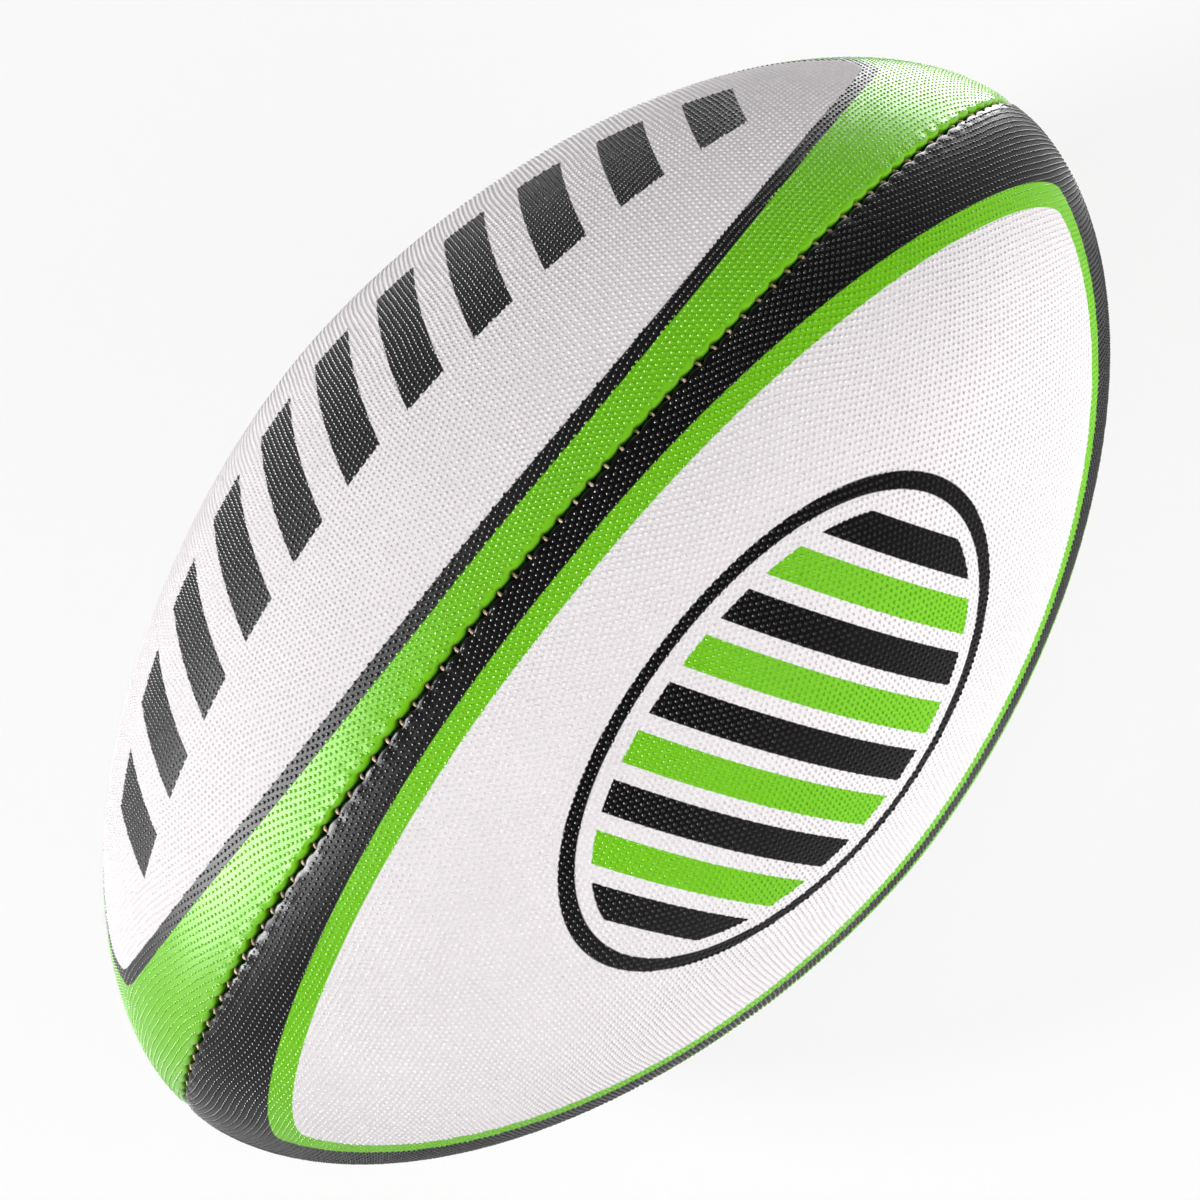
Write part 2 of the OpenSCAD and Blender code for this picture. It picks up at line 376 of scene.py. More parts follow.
# Half width, half length and cut of each white field and of the line round it
GREEN_EDGE_FIELD = (50.2 * MM, 122.5 * MM, 121.3 * MM)
GREEN_EDGE_LINE = (52.8 * MM, 125.5 * MM, 123.4 * MM)
BLACK_EDGE_FIELD = (50.2 * MM, 122 * MM, 130 * MM)
BLACK_EDGE_LINE = (53.7 * MM, 127 * MM, 132 * MM)
# Roughness, specular level and how much duller black ink is
PRINTED_GLOSS = (0.26, 0.3, 0.14)
PLAIN_GLOSS = (0.27, 0.16, 0.0)
GRIP_GLOSS = (0.2, 0.7, 0.0)


def green_edge_cover(name, *gloss):
    material, graph = new_finish(name)
    x, across = panel_place(graph, True)
    off = across - PRINT_SHIFT
    white = mask(graph, field(graph, x, off, *GREEN_EDGE_FIELD))
    line = mask(graph, field(graph, x, off, *GREEN_EDGE_LINE))
    colour = graph.mix(white, graph.mix(line, GREEN, BLACK), WHITE)
    row = bar_row(graph, x, across - BAR_ROW_SHIFT)
    close_cover(graph, graph.mix(row, colour, BLACK), *gloss)
    return material


def black_edge_cover(name, *gloss):
    material, graph = new_finish(name)
    x, across = panel_place(graph, False)
    off = across - PRINT_SHIFT
    white = mask(graph, field(graph, x, off, *BLACK_EDGE_FIELD))
    line = mask(graph, field(graph, x, off, *BLACK_EDGE_LINE))
    colour = graph.mix(white, graph.mix(line, BLACK, GREEN), WHITE)
    dark, bright = hooped_oval(graph, x - OVAL_ALONG, across - OVAL_SHIFT)
    close_cover(graph, graph.mix(dark, graph.mix(bright, colour, GREEN), BLACK), *gloss)
    return material


SHEET_FINISHES = {
    "green_edge_cover": green_edge_cover("green_edge_sheet", *PRINTED_GLOSS),
    "black_edge_cover": black_edge_cover("black_edge_sheet", *PLAIN_GLOSS),
}
GRIP_FINISHES = {
    "green_edge_cover": green_edge_cover("green_edge_grip", *GRIP_GLOSS),
    "black_edge_cover": black_edge_cover("black_edge_grip", *GRIP_GLOSS),
}
print("cover materials:", len(SHEET_FINISHES) + len(GRIP_FINISHES))

# %% [markdown]
# The outline of the ball
# An ellipse is a little too full at the points of this ball, so the outline is a superellipse, whose
# power is lower than 2. It has no simple formula for its length, so a fine chain of points is measured
# and looked up by length.

# %% The outline
HALF_LENGTH = 141 * MM
HALF_WIDTH = 86 * MM
OUTLINE_POWER = 1.86
FINE_STEPS = 6000


def outline(angle, depth=0.0):
    """Places along X and distances from the axis; the angle runs from the -X point to the +X point."""
    cosine, sine = np.cos(angle), np.abs(np.sin(angle))
    along = -(HALF_LENGTH - depth) * np.sign(cosine) * np.abs(cosine) ** (2 / OUTLINE_POWER)
    return along, (HALF_WIDTH - depth) * sine ** (2 / OUTLINE_POWER)


def running_length(along, radius):
    return np.concatenate([[0], np.cumsum(np.hypot(np.diff(along), np.diff(radius)))])


fine_angle = np.linspace(0, math.pi, FINE_STEPS + 1)
skin_length = running_length(*outline(fine_angle))
print("seam from point to point in mm:", round(1000 * skin_length[-1], 1))

# %% [markdown]
# Where the stitches sit
# The needle holes are evenly spaced along the stitch line, which lies below the surface. Each stitch
# pulls the edges down and apart, some harder than others, and between two stitches the pull falls to
# nothing. The lips and the puckers below all use it.

# %% The stitches
STITCH_DEPTH = 3.7 * MM
STITCH_PITCH = 4.3 * MM
STITCH_END = 18 * MM
NOTCH_SHARPNESS = 2.5
STITCH_SEED = 4
STRENGTH_RANGE = (0.55, 1.0)
RISE_RANGE = (0.84, 1.04)

sewn_length = running_length(*outline(fine_angle, STITCH_DEPTH))
stitch_count = int((sewn_length[-1] - 2 * STITCH_END) / STITCH_PITCH) + 1
stitch_first = (sewn_length[-1] - (stitch_count - 1) * STITCH_PITCH) / 2
stitch_angle = np.interp(stitch_first + STITCH_PITCH * np.arange(stitch_count), sewn_length, fine_angle)
stitch_skin = np.interp(stitch_angle, fine_angle, skin_length)
stitch_random = np.random.default_rng(STITCH_SEED)
stitch_strength = stitch_random.uniform(*STRENGTH_RANGE, stitch_count)
stitch_rise = stitch_random.uniform(*RISE_RANGE, stitch_count)


def stitch_pull(place):
    """From 0 to 1, how much a stitch draws in the edge at a length along the skin."""
    phase = np.interp(place, stitch_skin, np.arange(stitch_count))
    beyond = np.maximum(np.maximum(stitch_skin[0] - place, place - stitch_skin[-1]), 0)
    strength = stitch_strength[np.rint(phase).astype(int)] * np.exp(-(2 * beyond / STITCH_PITCH) ** 2)
    return strength * (0.5 + 0.5 * np.cos(2 * math.pi * phase)) ** NOTCH_SHARPNESS


print("stitches in a seam:", stitch_count)

# %% [markdown]
# A cover panel
# One panel is a quarter of the ball's skin. Its edges roll in at both seams and run down as flanges,
# which the thread holds together. Subdivision would smooth away the small notches at the stitches, so the
# panel is lofted: a closed section is worked out at many stations along the seam, and neighbouring
# sections are joined by quads. The section is first made with its middle at +Z, and a turn about X takes
# it to its place.

# %% The section of a panel
STATIONS = 620
TIP_RADIUS = 1.2 * MM
COVER_THICKNESS = 1.5 * MM
HALF_GAP = 0.2 * MM
LIP_RADIUS = 0.9 * MM
LIP_SHARE = 0.4
WALL_LIP_SHARE = 0.6
WALL_RADIUS_SHARE = 0.1
WIDEST_GAP_SINE = 0.69
FLANGE_DEPTH = 6.7 * MM
SKIN_ROWS = 17
ROW_POWER = 2
INNER_ROWS = 5
LIP_ANGLES = np.radians([18, 36, 54, 72, 90])
NOTCH = 0.75 * MM
SEAM_SINK = 0.25 * MM
SEAM_REACH = 4 * MM
PUCKER = 0.22 * MM
PUCKER_REACH = 1.4 * MM

first_half = slice(FINE_STEPS // 2)
tip_place = np.interp(TIP_RADIUS, outline(fine_angle)[1][first_half], skin_length[first_half])
station = np.linspace(tip_place, skin_length[-1] - tip_place, STATIONS)
station_angle = np.interp(station, skin_length, fine_angle)
station_x, station_r = outline(station_angle)
slope_x, slope_r = np.gradient(station_x, station), np.gradient(station_r, station)
slope = np.hypot(slope_x, slope_r)
normal_x, normal_r = -slope_r / slope, slope_x / slope
pull = stitch_pull(station)
lip = np.minimum(LIP_RADIUS, LIP_SHARE * station_r)
wall = np.minimum(COVER_THICKNESS, WALL_LIP_SHARE * lip + WALL_RADIUS_SHARE * station_r)
lip_angle = math.pi / 4 - np.arcsin(np.minimum((HALF_GAP + lip) / station_r, WIDEST_GAP_SINE))


def skin_point(turn, depth, sideways=0.0):
    """Points at a turn about X from the panel's middle, a depth below the skin and a step to the side."""
    sine, cosine = np.sin(turn), np.cos(turn)
    radial = station_r - depth * normal_r
    return np.stack([
        station_x - depth * normal_x,
        radial * sine + sideways * cosine,
        radial * cosine - sideways * sine,
    ], axis=-1)


def lip_and_flange(side):
    """The rows from the lip's start down to the foot of the flange and up its inner face."""
    turn = side * lip_angle
    sink = SEAM_SINK + PUCKER * pull
    rows = [
        skin_point(turn, sink + lip * (1 - math.cos(a)), side * (lip - NOTCH * pull) * math.sin(a))
        for a in LIP_ANGLES
    ]
    rows.append(skin_point(turn, FLANGE_DEPTH, side * lip))
    rows.append(skin_point(turn, FLANGE_DEPTH, side * (lip - wall)))
    rows.append(skin_point(turn, SEAM_SINK + wall, side * (lip - wall)))
    return rows


row_share = (np.arange(SKIN_ROWS + 1) / SKIN_ROWS) ** ROW_POWER
row_share = np.concatenate([row_share - 1, 1 - row_share[-2::-1]])
skin_rows = []
for share in row_share:
    inward = station_r * lip_angle * (1 - abs(share))
    sink = SEAM_SINK * np.exp(-inward / SEAM_REACH) + PUCKER * pull * np.exp(-inward / PUCKER_REACH)
    skin_rows.append(skin_point(share * lip_angle, sink))
inner_share = np.linspace(1, -1, INNER_ROWS + 2)[1:-1]
inner_rows = [skin_point(share * lip_angle, wall) for share in inner_share]
section = np.stack(skin_rows + lip_and_flange(1) + inner_rows + lip_and_flange(-1)[::-1], axis=1)
print("sections:", section.shape[0], "points in each:", section.shape[1])

# %% [markdown]
# Two maps for the panel
# The panel carries two UV maps. sheet gives each point of the grip its place on the rubber sheet in
# metres, and the pimples are laid out on it. OFBake spreads the whole panel over the unit square, so that
# an export can bake the print sharply: the skin gets most of the square and the hidden faces a narrow
# strip.

# %% Building a panel's mesh
AWAY = 9.0
HIDDEN_WEIGHT = 0.12
BAKE_MARGIN = 0.01
BAKE_SPAN = 0.96
CAP_BAKE_PLACE = 0.985
CAP_BAKE_RADIUS = 0.006
SMOOTH_STRIPS = 1
LIP_ROWS = len(LIP_ANGLES)
skin_count = len(row_share)
loop_count = section.shape[1]
first_lip = loop_count - LIP_ROWS

middle = section[STATIONS // 2]
strip_length = np.linalg.norm(np.roll(middle, -1, axis=0) - middle, axis=1)
hidden = np.zeros(loop_count, bool)
hidden[skin_count - 1 + LIP_ROWS:first_lip] = True
strip_length[hidden] *= HIDDEN_WEIGHT
strip_order = np.roll(np.arange(loop_count), LIP_ROWS)
strip_end = BAKE_MARGIN + BAKE_SPAN * np.cumsum(strip_length[strip_order]) / strip_length.sum()
strip_high = np.empty(loop_count)
strip_high[strip_order] = strip_end
strip_low = strip_high - BAKE_SPAN * strip_length / strip_length.sum()

sheet_u = station - skin_length[-1] / 2
sheet_v = np.stack([station_r * lip_angle * share for share in row_share], axis=1)
bake_u = BAKE_MARGIN + BAKE_SPAN * np.arange(STATIONS) / (STATIONS - 1)


def panel_faces():
    """The quads of the loft with their sheet and bake places, corner by corner."""
    faces, sheet, bake = [], [], []
    for i in range(STATIONS - 1):
        here = i * loop_count
        ahead = here + loop_count
        for j in range(loop_count):
            k = (j + 1) % loop_count
            faces.append((here + j, ahead + j, ahead + k, here + k))
            if SMOOTH_STRIPS <= j < skin_count - 1 - SMOOTH_STRIPS:
                sheet += [
                    (sheet_u[i], sheet_v[i, j]), (sheet_u[i + 1], sheet_v[i + 1, j]),
                    (sheet_u[i + 1], sheet_v[i + 1, k]), (sheet_u[i], sheet_v[i, k]),
                ]
            else:
                sheet += [(AWAY, AWAY)] * 4
            low, high = strip_low[j], strip_high[j]
            bake += [(bake_u[i], low), (bake_u[i + 1], low), (bake_u[i + 1], high), (bake_u[i], high)]
    last = (STATIONS - 1) * loop_count
    for cap in (range(loop_count), range(last + loop_count - 1, last - 1, -1)):
        faces.append(tuple(cap))
        sheet += [(AWAY, AWAY)] * loop_count
        turns = 2 * math.pi * np.arange(loop_count) / loop_count
        ring = np.stack([np.cos(turns), np.sin(turns)], axis=-1)
        bake += (CAP_BAKE_PLACE + CAP_BAKE_RADIUS * ring).tolist()
    return faces, sheet, bake


PANEL_FACES, PANEL_SHEET, PANEL_BAKE = panel_faces()


def panel_mesh(name, number):
    """The lofted panel of that number, turned to its quarter of the ball."""
    mesh = bpy.data.meshes.new(name)
    mesh.from_pydata(section.reshape(-1, 3).tolist(), [], PANEL_FACES)
    for layer, places in (("OFBake", PANEL_BAKE), ("sheet", PANEL_SHEET)):
        mesh.uv_layers.new(name=layer).data.foreach_set("uv", np.ravel(places))
    mesh.transform(Matrix.Rotation(math.radians(90 * (number - 1) - 45), 4, "X"))
    return mesh


def shown(name, mesh):
    """A finished piece at the origin."""
    piece = bpy.data.objects.new(name, mesh)
    scene.collection.objects.link(piece)
    return piece


print("faces in a panel before its pimples:", len(PANEL_FACES))

# %% [markdown]
# The hole for the valve
# The valve's neck comes through the middle of one panel. The hole could be left out of the loft, but the
# sections don't follow a circle, so a Boolean modifier cuts it with a round cutter, which carries the
# same two UV maps.

# %% Cutting the valve hole
VALVE_PANEL = 4
VALVE_HOLE_RADIUS = 4.9 * MM
HOLE_SIDES = 64
CUTTER_REACH = (0.8, 1.2)
HOLE_BAKE = (0.975, 0.98)
valve_axis = Vector((0, HALF_ROOT, -HALF_ROOT))


def plain_mesh(obj, name):
    """The evaluated shape of an object as a mesh of its own."""
    depsgraph = bpy.context.evaluated_depsgraph_get()
    mesh = bpy.data.meshes.new_from_object(obj.evaluated_get(depsgraph))
    mesh.name = name
    return mesh


def hole_cutter():
    """A round bar along the valve's axis."""
    turns = 2 * math.pi * np.arange(HOLE_SIDES) / HOLE_SIDES
    ring = np.stack([np.cos(turns), np.sin(turns)], axis=-1) * VALVE_HOLE_RADIUS
    ends = [np.column_stack([ring, np.full(HOLE_SIDES, h * HALF_WIDTH)]) for h in CUTTER_REACH]
    sides = [(i, (i + 1) % HOLE_SIDES) for i in range(HOLE_SIDES)]
    faces = [(a, b, b + HOLE_SIDES, a + HOLE_SIDES) for a, b in sides]
    faces += [tuple(range(HOLE_SIDES))[::-1], tuple(range(HOLE_SIDES, 2 * HOLE_SIDES))]
    mesh = bpy.data.meshes.new("hole_cutter")
    mesh.from_pydata(np.concatenate(ends).tolist(), [], faces)
    corners = len(mesh.loops)
    mesh.uv_layers.new(name="OFBake").data.foreach_set("uv", np.linspace(*HOLE_BAKE, 2 * corners))
    mesh.uv_layers.new(name="sheet").data.foreach_set("uv", np.full(2 * corners, AWAY))
    mesh.transform(Vector((0, 0, 1)).rotation_difference(valve_axis).to_matrix().to_4x4())
    return shown("hole_cutter", mesh)


def with_valve_hole(panel):
    """Cuts the hole and leaves a plain mesh on the panel."""
    cutter = hole_cutter()
    cut = panel.modifiers.new("valve_hole", "BOOLEAN")
    cut.operation = "DIFFERENCE"
    cut.solver = "EXACT"
    cut.object = cutter
    mesh = plain_mesh(panel, panel.name)
    panel.modifiers.remove(cut)
    panel.data = mesh
    bpy.data.objects.remove(cutter)


# %% [markdown]
# The grip
# The rubber is moulded with thousands of small pimples in slanted rows that wander a little, and the
# pimples are smaller towards the points. A bump map would look flat at the ball's edge, so each pimple is
# a dome of fifteen triangles. Geometry Nodes lay a staggered grid on the flat sheet, turn it, shift it
# with noise, and look each point up on the panel by its sheet place, where it gets the skin's normal.
# Points that fall off the sheet, on the lips or in the valve hole are dropped. The pimples of a panel's
# two ends are two pieces, because one mesh of them all would be too large for a file of its own.

# %% A tree for Geometry Nodes
def geometry_tree(name, inputs):
    """An empty tree with named inputs, and its graph with the inputs as signals."""
    tree = bpy.data.node_groups.new(name, "GeometryNodeTree")
    tree.interface.new_socket("Geometry", in_out="INPUT", socket_type="NodeSocketGeometry")
    for label, kind in inputs.items():
        tree.interface.new_socket(label, in_out="INPUT", socket_type="NodeSocket" + kind)
    tree.interface.new_socket("Geometry", in_out="OUTPUT", socket_type="NodeSocketGeometry")
    graph = Graph(tree)
    labels = ("Geometry", *inputs)
    return tree, graph, dict(zip(labels, graph.node("NodeGroupInput", output=labels)))


def grow(obj, tree, values):
    """Runs the tree on an object and leaves the plain mesh that it makes."""
    modifier = obj.modifiers.new(tree.name, "NODES")
    modifier.node_group = tree
    for item in tree.interface.items_tree:
        if item.in_out == "INPUT" and item.name in values:
            modifier[item.identifier] = values[item.name]
    mesh = plain_mesh(obj, obj.name)
    obj.modifiers.remove(modifier)
    return mesh


def store(graph, geometry, name, value, domain="POINT", kind="FLOAT_VECTOR"):
    sockets = {"Geometry": geometry, "Name": name, "Value": value}
    return graph.node("GeometryNodeStoreNamedAttribute", {"domain": domain, "data_type": kind}, sockets)


def named(graph, name):
    return graph.node("GeometryNodeInputNamedAttribute", {"data_type": "FLOAT_VECTOR"}, {"Name": name})


# %% Laying out the pimples
ROW_STEP = math.sqrt(3) / 2
WANDER_SCALE = 21.0
LOOSENESS = 0.06 * MM


def sheet_grid(graph, given):
    """A staggered grid on the flat sheet, turned and shifted, with each point's sheet place stored."""
    cosine = graph.math("COSINE", given["Turn"])
    sine = graph.math("SINE", given["Turn"])
    row_pitch = given["Pitch"] * ROW_STEP
    columns = graph.math("CEIL", (given["Length"] * cosine + given["Width"] * sine) / given["Pitch"])
    rows = graph.math("CEIL", (given["Length"] * sine + given["Width"] * cosine) / row_pitch)
    sockets = {0: columns * given["Pitch"], 1: rows * row_pitch, 2: columns + 1, 3: rows + 1}
    grid = graph.node("GeometryNodeMeshGrid", None, sockets)
    row = graph.math("MODULO", graph.node("GeometryNodeInputIndex"), rows + 1)
    stagger = graph.math("MODULO", row, 2.0) * given["Pitch"] / 2
    here = graph.node("GeometryNodeInputPosition")
    staggered = graph.vector_math("ADD", here, graph.node("ShaderNodeCombineXYZ", None, {"X": stagger}))
    sockets = {"Vector": staggered, "Angle": given["Turn"]}
    turned = graph.node("ShaderNodeVectorRotate", {"rotation_type": "Z_AXIS"}, sockets)
    sockets = {"Vector": turned, "W": given["Seed"], "Scale": WANDER_SCALE, "Detail": 1.0}
    noise = graph.node("ShaderNodeTexNoise", {"noise_dimensions": "4D"}, sockets, "Color")
    drift = graph.vector_math("SUBTRACT", noise, (0.5, 0.5, 0.5))
    sockets = {"Vector": drift, "Scale": given["Wander"]}
    drift = graph.node("ShaderNodeVectorMath", {"operation": "SCALE"}, sockets)
    sockets = {0: (-LOOSENESS,) * 3, 1: (LOOSENESS,) * 3, "Seed": given["Seed"]}
    loose = graph.node("FunctionNodeRandomValue", {"data_type": "FLOAT_VECTOR"}, sockets, 0)
    placed = graph.vector_math("ADD", graph.vector_math("ADD", turned, drift), loose)
    flat = graph.vector_math("MULTIPLY", placed, (1, 1, 0))
    moved = graph.node("GeometryNodeSetPosition", None, {"Geometry": grid, "Position": flat})
    return store(graph, moved, "sheet_place", here)


def on_skin(graph, skin, value, outputs=0):
    """A value of the panel's skin, looked up at a point's place on the sheet."""
    sockets = {
        "Mesh": skin, "Value": value,
        "UV Map": named(graph, "sheet"), "Sample UV": named(graph, "sheet_place"),
    }
    return graph.node("GeometryNodeSampleUVSurface", {"data_type": "FLOAT_VECTOR"}, sockets, outputs)


# %% One pimple, and the tree that sets them all
DOME_SIDES = 5
DOME_SWELL = 4 * (math.sqrt(2) - 1)
SMALLEST_PIMPLE = 0.88
LARGEST_PIMPLE = 1.08
END_POWER = 2
BAKE_SCALE = 3.0


def dome(graph, given):
    """One pimple: a cone of two bands, with its middle ring swelled out to a quarter circle."""
    sockets = {
        "Vertices": DOME_SIDES, "Side Segments": 2, "Radius Top": 0.0,
        "Radius Bottom": given["Radius"], "Depth": given["Height"],
    }
    cone = graph.node("GeometryNodeMeshCone", {"fill_type": "NONE"}, sockets)
    here = graph.node("GeometryNodeInputPosition")
    rise = graph.node("ShaderNodeSeparateXYZ", None, {"Vector": here}, "Z") / given["Height"]
    swell = 1 + DOME_SWELL * rise * (1 - rise)
    sockets = {"Vector": here, "Scale": swell}
    round_place = graph.node("ShaderNodeVectorMath", {"operation": "SCALE"}, sockets)
    rounded = graph.node("GeometryNodeSetPosition", None, {"Geometry": cone, "Position": round_place})
    return store(graph, rounded, "dome_place", here)


def pimple_tree():
    tree, graph, given = geometry_tree("Pimples", {
        "Length": "Float", "Width": "Float", "Pitch": "Float", "Radius": "Float", "Height": "Float",
        "End Taper": "Float", "Turn": "Float", "Wander": "Float", "Bare Radius": "Float", "End": "Int",
        "Seed": "Int", "Finish": "Material",
    })
    skin = given["Geometry"]
    points = sheet_grid(graph, given)
    place, valid = on_skin(graph, skin, graph.node("GeometryNodeInputPosition"), (0, 1))
    from_valve = graph.node(
        "ShaderNodeVectorMath", {"operation": "LENGTH"}, {0: named(graph, "sheet_place")}, "Value"
    )
    clear = graph.math("GREATER_THAN", from_valve, given["Bare Radius"])
    along = graph.node("ShaderNodeSeparateXYZ", None, {"Vector": named(graph, "sheet_place")}, "X")
    this_end = graph.math("GREATER_THAN", along * given["End"], 0.0)
    sockets = {"Geometry": points, "Selection": 1 - valid * clear * this_end}
    points = graph.node("GeometryNodeDeleteGeometry", {"domain": "POINT"}, sockets)
    points = store(graph, points, "bake_place", on_skin(graph, skin, named(graph, "OFBake")))
    upright = on_skin(graph, skin, graph.node("GeometryNodeInputNormal"))
    turn = graph.node("FunctionNodeAlignRotationToVector", {"axis": "Z"}, {"Vector": upright})
    points = graph.node("GeometryNodeSetPosition", None, {"Geometry": points, "Position": place})
    sockets = {2: SMALLEST_PIMPLE, 3: LARGEST_PIMPLE, "Seed": given["Seed"]}
    uneven = graph.node("FunctionNodeRandomValue", {"data_type": "FLOAT"}, sockets, 1)
    toward_end = abs(along) * 2 / given["Length"]
    size = uneven * (1 - given["End Taper"] * toward_end ** END_POWER)
    sockets = {"Points": points, "Instance": dome(graph, given), "Rotation": turn, "Scale": size}
    domes = graph.node("GeometryNodeInstanceOnPoints", None, sockets)
    domes = graph.node("GeometryNodeRealizeInstances", None, {"Geometry": domes})
    spread = graph.vector_math("MULTIPLY", named(graph, "dome_place"), (BAKE_SCALE, BAKE_SCALE, 0))
    bake = graph.vector_math("ADD", named(graph, "bake_place"), spread)
    domes = store(graph, domes, "OFBake", bake, "CORNER", "FLOAT2")
    for used in ("sheet_place", "bake_place", "dome_place"):
        domes = graph.node("GeometryNodeRemoveAttribute", None, {"Geometry": domes, "Name": used})
    domes = graph.node("GeometryNodeSetShadeSmooth", None, {"Geometry": domes})
    domes = graph.node("GeometryNodeSetMaterial", None, {"Geometry": domes, "Material": given["Finish"]})
    graph.node("NodeGroupOutput", None, {"Geometry": domes})
    return tree


# %% The four panels
PIMPLE_PITCH = 1.29 * MM
PIMPLE_RADIUS = 0.45 * MM
PIMPLE_HEIGHT = 0.34 * MM
PIMPLE_TAPER = 0.5
ROW_TURN = math.radians(22)
ROW_WANDER = 7 * MM
BARE_RADIUS = 5.6 * MM
ENDS = {"left": -1, "right": 1}


def triangle_count(mesh):
    return sum(len(face.vertices) - 2 for face in mesh.polygons)


def add_grip(panel, number, slot):
    """The pimples of a panel, as one piece for each end of the ball."""
    for end, sign in ENDS.items():
        grip = shown(f"panel_grip_{number}_{end}", panel.data)
        grip.data = grow(grip, pimples, {
            "Length": float(skin_length[-1]), "Width": math.pi / 2 * HALF_WIDTH, "Pitch": PIMPLE_PITCH,
            "Radius": PIMPLE_RADIUS, "Height": PIMPLE_HEIGHT, "End Taper": PIMPLE_TAPER,
            "Turn": ROW_TURN, "Wander": ROW_WANDER,
            "Bare Radius": BARE_RADIUS if number == VALVE_PANEL else 0.0,
            "End": sign, "Seed": number, "Finish": GRIP_FINISHES[slot],
        })
        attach(grip, "ball")
        print(grip.name, "triangles:", triangle_count(grip.data))


def finish_sheet(mesh, material):
    """Smooth shading and the material, once the pimples have used the sheet map."""
    mesh.uv_layers.remove(mesh.uv_layers["sheet"])
    mesh.shade_smooth()
    mesh.materials.clear()
    mesh.materials.append(material)


pimples = pimple_tree()
for number in range(1, 5):
    name = f"panel_skin_{number}"
    slot = "green_edge_cover" if number % 2 else "black_edge_cover"
    panel = shown(name, panel_mesh(name, number))
    if number == VALVE_PANEL:
        with_valve_hole(panel)
    add_grip(panel, number, slot)
    finish_sheet(panel.data, SHEET_FINISHES[slot])
    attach(panel, "ball")
    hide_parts(f"cover_panel_{number}")
    print(name, "triangles:", triangle_count(panel.data))

# %% [markdown]
# The waxed thread
# The thread goes through both edges at each stitch, runs along one side to the next hole and comes back.
# Where it crosses the seam it bows up and shows between the lips, against the dark panel's edge. The path
# follows a rule, so it is worked out as points; Geometry Nodes then sweep a three-lobed section along it
# and twist it, as three plies are.

# %% The path of a seam's thread
THREAD_DIAMETER = 0.8 * MM
THREAD_RUN = 3.25 * MM
THREAD_BOW = 2.8 * MM
BOW_SIDE = 0.5 * MM
BOW_TO_DARK = 0.9 * MM
BOW_TO_GREEN = 1.7 * MM
CROSSING_STEPS = 19
RUN_STEPS = 4


def thread_path(dark_side):
    """Points of the top seam's thread; dark_side is the sign of Y on which the dark panel lies."""
    across = np.linspace(-THREAD_RUN, THREAD_RUN, CROSSING_STEPS)
    past_top = across * dark_side - BOW_SIDE
    bow = THREAD_BOW * np.exp(-(past_top / np.where(past_top > 0, BOW_TO_DARK, BOW_TO_GREEN)) ** 2)
    points = []
    for i in range(stitch_count):
        side = -1 if i % 2 else 1
        for w, rise in list(zip(across, bow))[::side]:
            x, r = outline(stitch_angle[i], STITCH_DEPTH - rise * stitch_rise[i])
            points.append((x, w, r))
        if i + 1 < stitch_count:
            for a in np.linspace(stitch_angle[i], stitch_angle[i + 1], RUN_STEPS + 1)[1:-1]:
                x, r = outline(a, STITCH_DEPTH)
                points.append((x, side * THREAD_RUN, r))
    return points


print("points in a thread:", len(thread_path(-1)))

# %% The thread's finish and its tree
FIBRE_SCALE = 5200.0
FIBRE_DEPTH = 0.04 * MM
SOIL_SCALE = 300.0
PALE_FIBRE = linear(222, 194, 160)
DARK_FIBRE = linear(176, 140, 104)
SOILED_FIBRE = linear(140, 108, 80)
PLY_WAIST = 0.38


def waxed_finish():
    material, graph = new_finish("waxed_thread")
    fibre = grain(graph, FIBRE_SCALE, 3.0)
    soil = grain(graph, SOIL_SCALE)
    colour = graph.mix(fibre * 0.5, PALE_FIBRE, DARK_FIBRE)
    colour = graph.mix(graph.clamp(soil * 2 - 0.9), colour, SOILED_FIBRE)
    close_finish(graph, colour, 0.32 + 0.2 * soil, fibre, FIBRE_DEPTH)
    return material


def thread_tree():
    tree, graph, given = geometry_tree("Waxed thread", {
        "Diameter": "Float", "Turns per metre": "Float", "Plies": "Int", "Finish": "Material",
    })
    factor, length = graph.node("GeometryNodeSplineParameter", output=("Factor", "Length"))
    along = graph.node("ShaderNodeCombineXYZ", None, {"X": factor})
    path = graph.node("GeometryNodeMeshToCurve", None, {"Mesh": given["Geometry"]})
    path = store(graph, path, "thread_along", along)
    tilt = length * given["Turns per metre"] * (2 * math.pi)
    path = graph.node("GeometryNodeSetCurveTilt", None, {"Curve": path, "Tilt": tilt})
    sockets = {
        "Points": given["Plies"],
        "Inner Radius": given["Diameter"] * PLY_WAIST,
        "Outer Radius": given["Diameter"] / 2,
    }
    profile = graph.node("GeometryNodeCurveStar", None, sockets)
    profile = store(graph, profile, "thread_round", graph.node("ShaderNodeCombineXYZ", None, {"Y": factor}))
    sockets = {"Curve": path, "Profile Curve": profile, "Fill Caps": True}
    tube = graph.node("GeometryNodeCurveToMesh", None, sockets)
    bake = graph.vector_math("ADD", named(graph, "thread_along"), named(graph, "thread_round"))
    tube = store(graph, tube, "OFBake", bake, "CORNER", "FLOAT2")
    for used in ("thread_along", "thread_round"):
        tube = graph.node("GeometryNodeRemoveAttribute", None, {"Geometry": tube, "Name": used})
    tube = graph.node("GeometryNodeSetShadeSmooth", None, {"Geometry": tube})
    tube = graph.node("GeometryNodeRealizeInstances", None, {"Geometry": tube})
    tube = graph.node("GeometryNodeSetMaterial", None, {"Geometry": tube, "Material": given["Finish"]})
    graph.node("NodeGroupOutput", None, {"Geometry": tube})
    return tree


# %% The four seam threads
THREAD_PLIES = 3
THREAD_TURNS = 420.0

